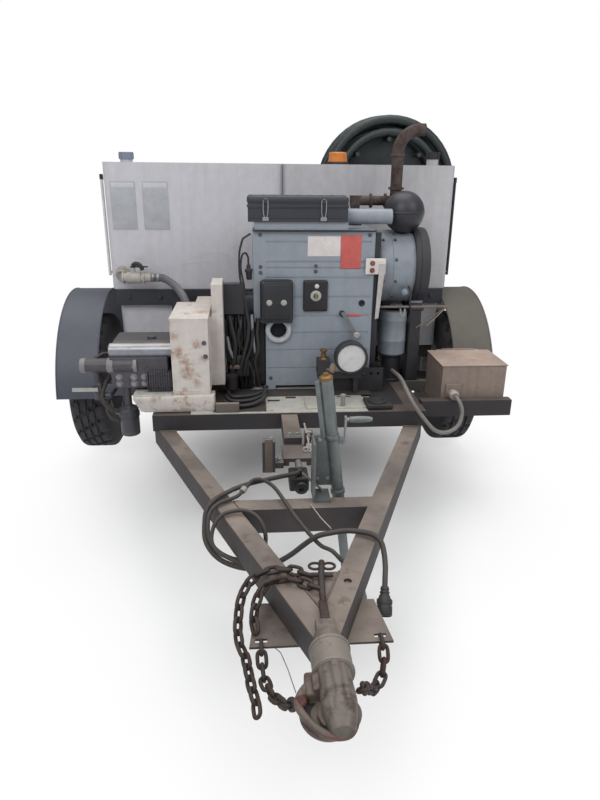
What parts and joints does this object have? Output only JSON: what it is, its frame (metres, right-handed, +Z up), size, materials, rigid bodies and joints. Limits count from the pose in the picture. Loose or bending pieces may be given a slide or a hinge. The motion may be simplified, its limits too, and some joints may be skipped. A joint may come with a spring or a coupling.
{
  "type": "pressure washer",
  "caption": "Single-axle trailer pressure washer with twin water tanks, a diesel engine in a sound capsule, a belt-driven plunger pump and a hose coil.",
  "frame": {"origin": "on the ground under the middle of the whole trailer, hose coil included", "axes": "+Y back from the coupler to the tail lamps, +X to the right as seen from the coupler, +Z up"},
  "size_m": [2.0534, 3.2814, 1.623],
  "materials": {
    "frame_paint": "worn dusty black",
    "deck_paint": "dusty cream",
    "rusty_steel": "rusty",
    "galvanised": "dull galvanised",
    "tyre_rubber": "dusty",
    "fender_paint": "satin",
    "tank_plastic": "white, weathered",
    "black_paint": "satin black",
    "cap_plastic": "matte",
    "fitting_plastic": "matte",
    "dark_handle": "worn",
    "hose_rubber": "satin",
    "amber_lens": "glossy",
    "engine_iron": "oily",
    "capsule_paint": "blue-grey",
    "black_plastic": "matte",
    "lever_steel": "satin",
    "pump_aluminium": "cast",
    "belt_rubber": "matte",
    "guard_paint": "cream, stained",
    "gauge_case": "satin black",
    "battery_paint": "tan, dusty",
    "cable_rubber": "matte"
  },
  "bodies": {
    "trailer": {"tongue_rail_left": "frame_paint", "tongue_rail_right": "frame_paint", "tongue_members": "frame_paint", "coupler_body": "rusty_steel", "chain_left": "rusty_steel", "chain_right": "rusty_steel", "jack_tube": "galvanised", "frame_rail_left": "frame_paint", "frame_rail_right": "frame_paint", "frame_crossmembers": "frame_paint", "deck_plate": "deck_paint", "axle": "frame_paint", "fender_left": "fender_paint", "fender_right": "fender_paint", "tank_left": "tank_plastic", "tank_right": "tank_plastic", "tank_band": "black_paint", "tank_fittings": "fitting_plastic", "suction_hose": "hose_rubber", "lamps": "amber_lens", "hose_coil": "hose_rubber", "hose_fittings": "galvanised", "hose_rack": "black_paint", "engine": "engine_iron", "engine_capsule": "capsule_paint", "fan_drum": "capsule_paint", "air_box": "black_plastic", "intake_duct": "capsule_paint", "exhaust": "rusty_steel", "control_panel": "black_plastic", "pump": "pump_aluminium", "drive_belts": "belt_rubber", "belt_guard": "guard_paint", "gauge": "gauge_case", "battery_box": "battery_paint", "wiring_cable": "cable_rubber", "wiring_branch": "cable_rubber", "wiring_plug": "cable_rubber", "battery_conduit": "cable_rubber"},
    "wheel_left_body": {"wheel_left": "galvanised", "tyre_left": "tyre_rubber"},
    "wheel_right_body": {"wheel_right": "galvanised", "tyre_right": "tyre_rubber"},
    "collar": {"coupler_collar": "galvanised"},
    "jaw": {"coupler_jaw": "rusty_steel"},
    "leg": {"jack_leg": "galvanised"},
    "crank": {"jack_crank": "galvanised"},
    "left_cap": {"cap_left": "cap_plastic"},
    "right_cap": {"cap_right": "cap_plastic"},
    "tank_lever": {"tank_valve_lever": "dark_handle"},
    "pump_outlet_lever": {"outlet_lever": "dark_handle"},
    "crankshaft": {"engine_rotor": "engine_iron"},
    "pump_shaft": {"pump_rotor": "engine_iron"},
    "fan": {"fan_rotor": "engine_iron"},
    "throttle": {"throttle_lever": "lever_steel"},
    "stop": {"stop_lever": "lever_steel"},
    "ignition_key": {"key": "lever_steel"},
    "needle": {"gauge_needle": "lever_steel"},
    "air_lid": {"air_box_lid": "black_plastic"},
    "box_lid": {"battery_lid": "battery_paint"}
  },
  "joints": [
    {"name": "wheel_left_spin", "type": "hinge", "parent": "trailer", "child": "wheel_left_body", "pos_m": [-0.93875, 0.56568, 0.33], "axis": [1, 0, 0], "continuous": true},
    {"name": "wheel_right_spin", "type": "hinge", "parent": "trailer", "child": "wheel_right_body", "pos_m": [0.80525, 0.56568, 0.33], "axis": [1, 0, 0], "continuous": true},
    {"name": "collar_slide", "type": "slide", "parent": "trailer", "child": "collar", "axis": [0, 1, 0], "range_m": [0, 0.016]},
    {"name": "jaw_hinge", "type": "hinge", "parent": "trailer", "child": "jaw", "pos_m": [-0.04175, -1.63433, 0.39], "axis": [-1, 0, 0], "range_deg": [0, 55]},
    {"name": "jack_slide", "type": "slide", "parent": "trailer", "child": "leg", "axis": [-0.1219, 0, 0.9925], "range_m": [-0.12, 0.17]},
    {"name": "jack_crank_turn", "type": "hinge", "parent": "trailer", "child": "crank", "pos_m": [0.07572, -0.73433, 0.55], "axis": [1, 0, 0], "range_deg": [-4330, 6130]},
    {"name": "cap_left_turn", "type": "hinge", "parent": "trailer", "child": "left_cap", "pos_m": [-0.73175, 0.56568, 1.375], "axis": [0, 0, 1], "range_deg": [0, 360]},
    {"name": "cap_right_turn", "type": "hinge", "parent": "trailer", "child": "right_cap", "pos_m": [0.65825, 0.56568, 1.39], "axis": [0, 0, 1], "range_deg": [0, 360]},
    {"name": "tank_valve_turn", "type": "hinge", "parent": "trailer", "child": "tank_lever", "pos_m": [-0.70675, 0.36567, 0.91], "axis": [0, 0, -1], "range_deg": [0, 90]},
    {"name": "outlet_valve_turn", "type": "hinge", "parent": "trailer", "child": "pump_outlet_lever", "pos_m": [-0.78675, -0.15432, 0.528], "axis": [0, -1, 0], "range_deg": [0, 90]},
    {"name": "engine_spin", "type": "hinge", "parent": "trailer", "child": "crankshaft", "pos_m": [-0.04175, 0.21568, 0.615], "axis": [1, 0, 0], "continuous": true},
    {"name": "pump_spin", "type": "hinge", "parent": "trailer", "child": "pump_shaft", "pos_m": [-0.34175, -0.04433, 0.615], "axis": [1, 0, 0], "continuous": true},
    {"name": "fan_spin", "type": "hinge", "parent": "trailer", "child": "fan", "pos_m": [0.39825, 0.21568, 0.941], "axis": [1, 0, 0], "continuous": true},
    {"name": "throttle_turn", "type": "hinge", "parent": "trailer", "child": "throttle", "pos_m": [0.33625, 0.02167, 0.96], "axis": [0, 1, 0], "range_deg": [-15, 15]},
    {"name": "stop_turn", "type": "hinge", "parent": "trailer", "child": "stop", "pos_m": [0.18125, 0.02167, 0.774], "axis": [0, 1, 0], "range_deg": [0, 45], "stiffness_Nm_per_rad": 0.3, "springref_deg": -17.19},
    {"name": "key_turn", "type": "hinge", "parent": "trailer", "child": "ignition_key", "pos_m": [0.07025, 0.02167, 0.85], "axis": [0, 1, 0], "range_deg": [0, 90]},
    {"name": "gauge_needle_turn", "type": "hinge", "parent": "trailer", "child": "needle", "pos_m": [0.20825, -0.07833, 0.616], "axis": [0, 1, 0], "range_deg": [0, 270], "stiffness_Nm_per_rad": 0.002, "springref_deg": -11.46},
    {"name": "air_lid_hinge", "type": "hinge", "parent": "trailer", "child": "air_lid", "pos_m": [-0.00175, 0.15097, 1.2], "axis": [-1, 0, 0], "range_deg": [0, 70]},
    {"name": "battery_lid_hinge", "type": "hinge", "parent": "trailer", "child": "box_lid", "pos_m": [0.71025, 0.12097, 0.586], "axis": [-1, 0, 0], "range_deg": [0, 100]}
  ],
  "couplings": [
    {"joint": "jack_crank_turn", "follows": "jack_slide", "rad_per_m": 628.3},
    {"joint": "pump_spin", "follows": "engine_spin", "ratio": 0.48},
    {"joint": "fan_spin", "follows": "engine_spin", "ratio": 1.6}
  ]
}
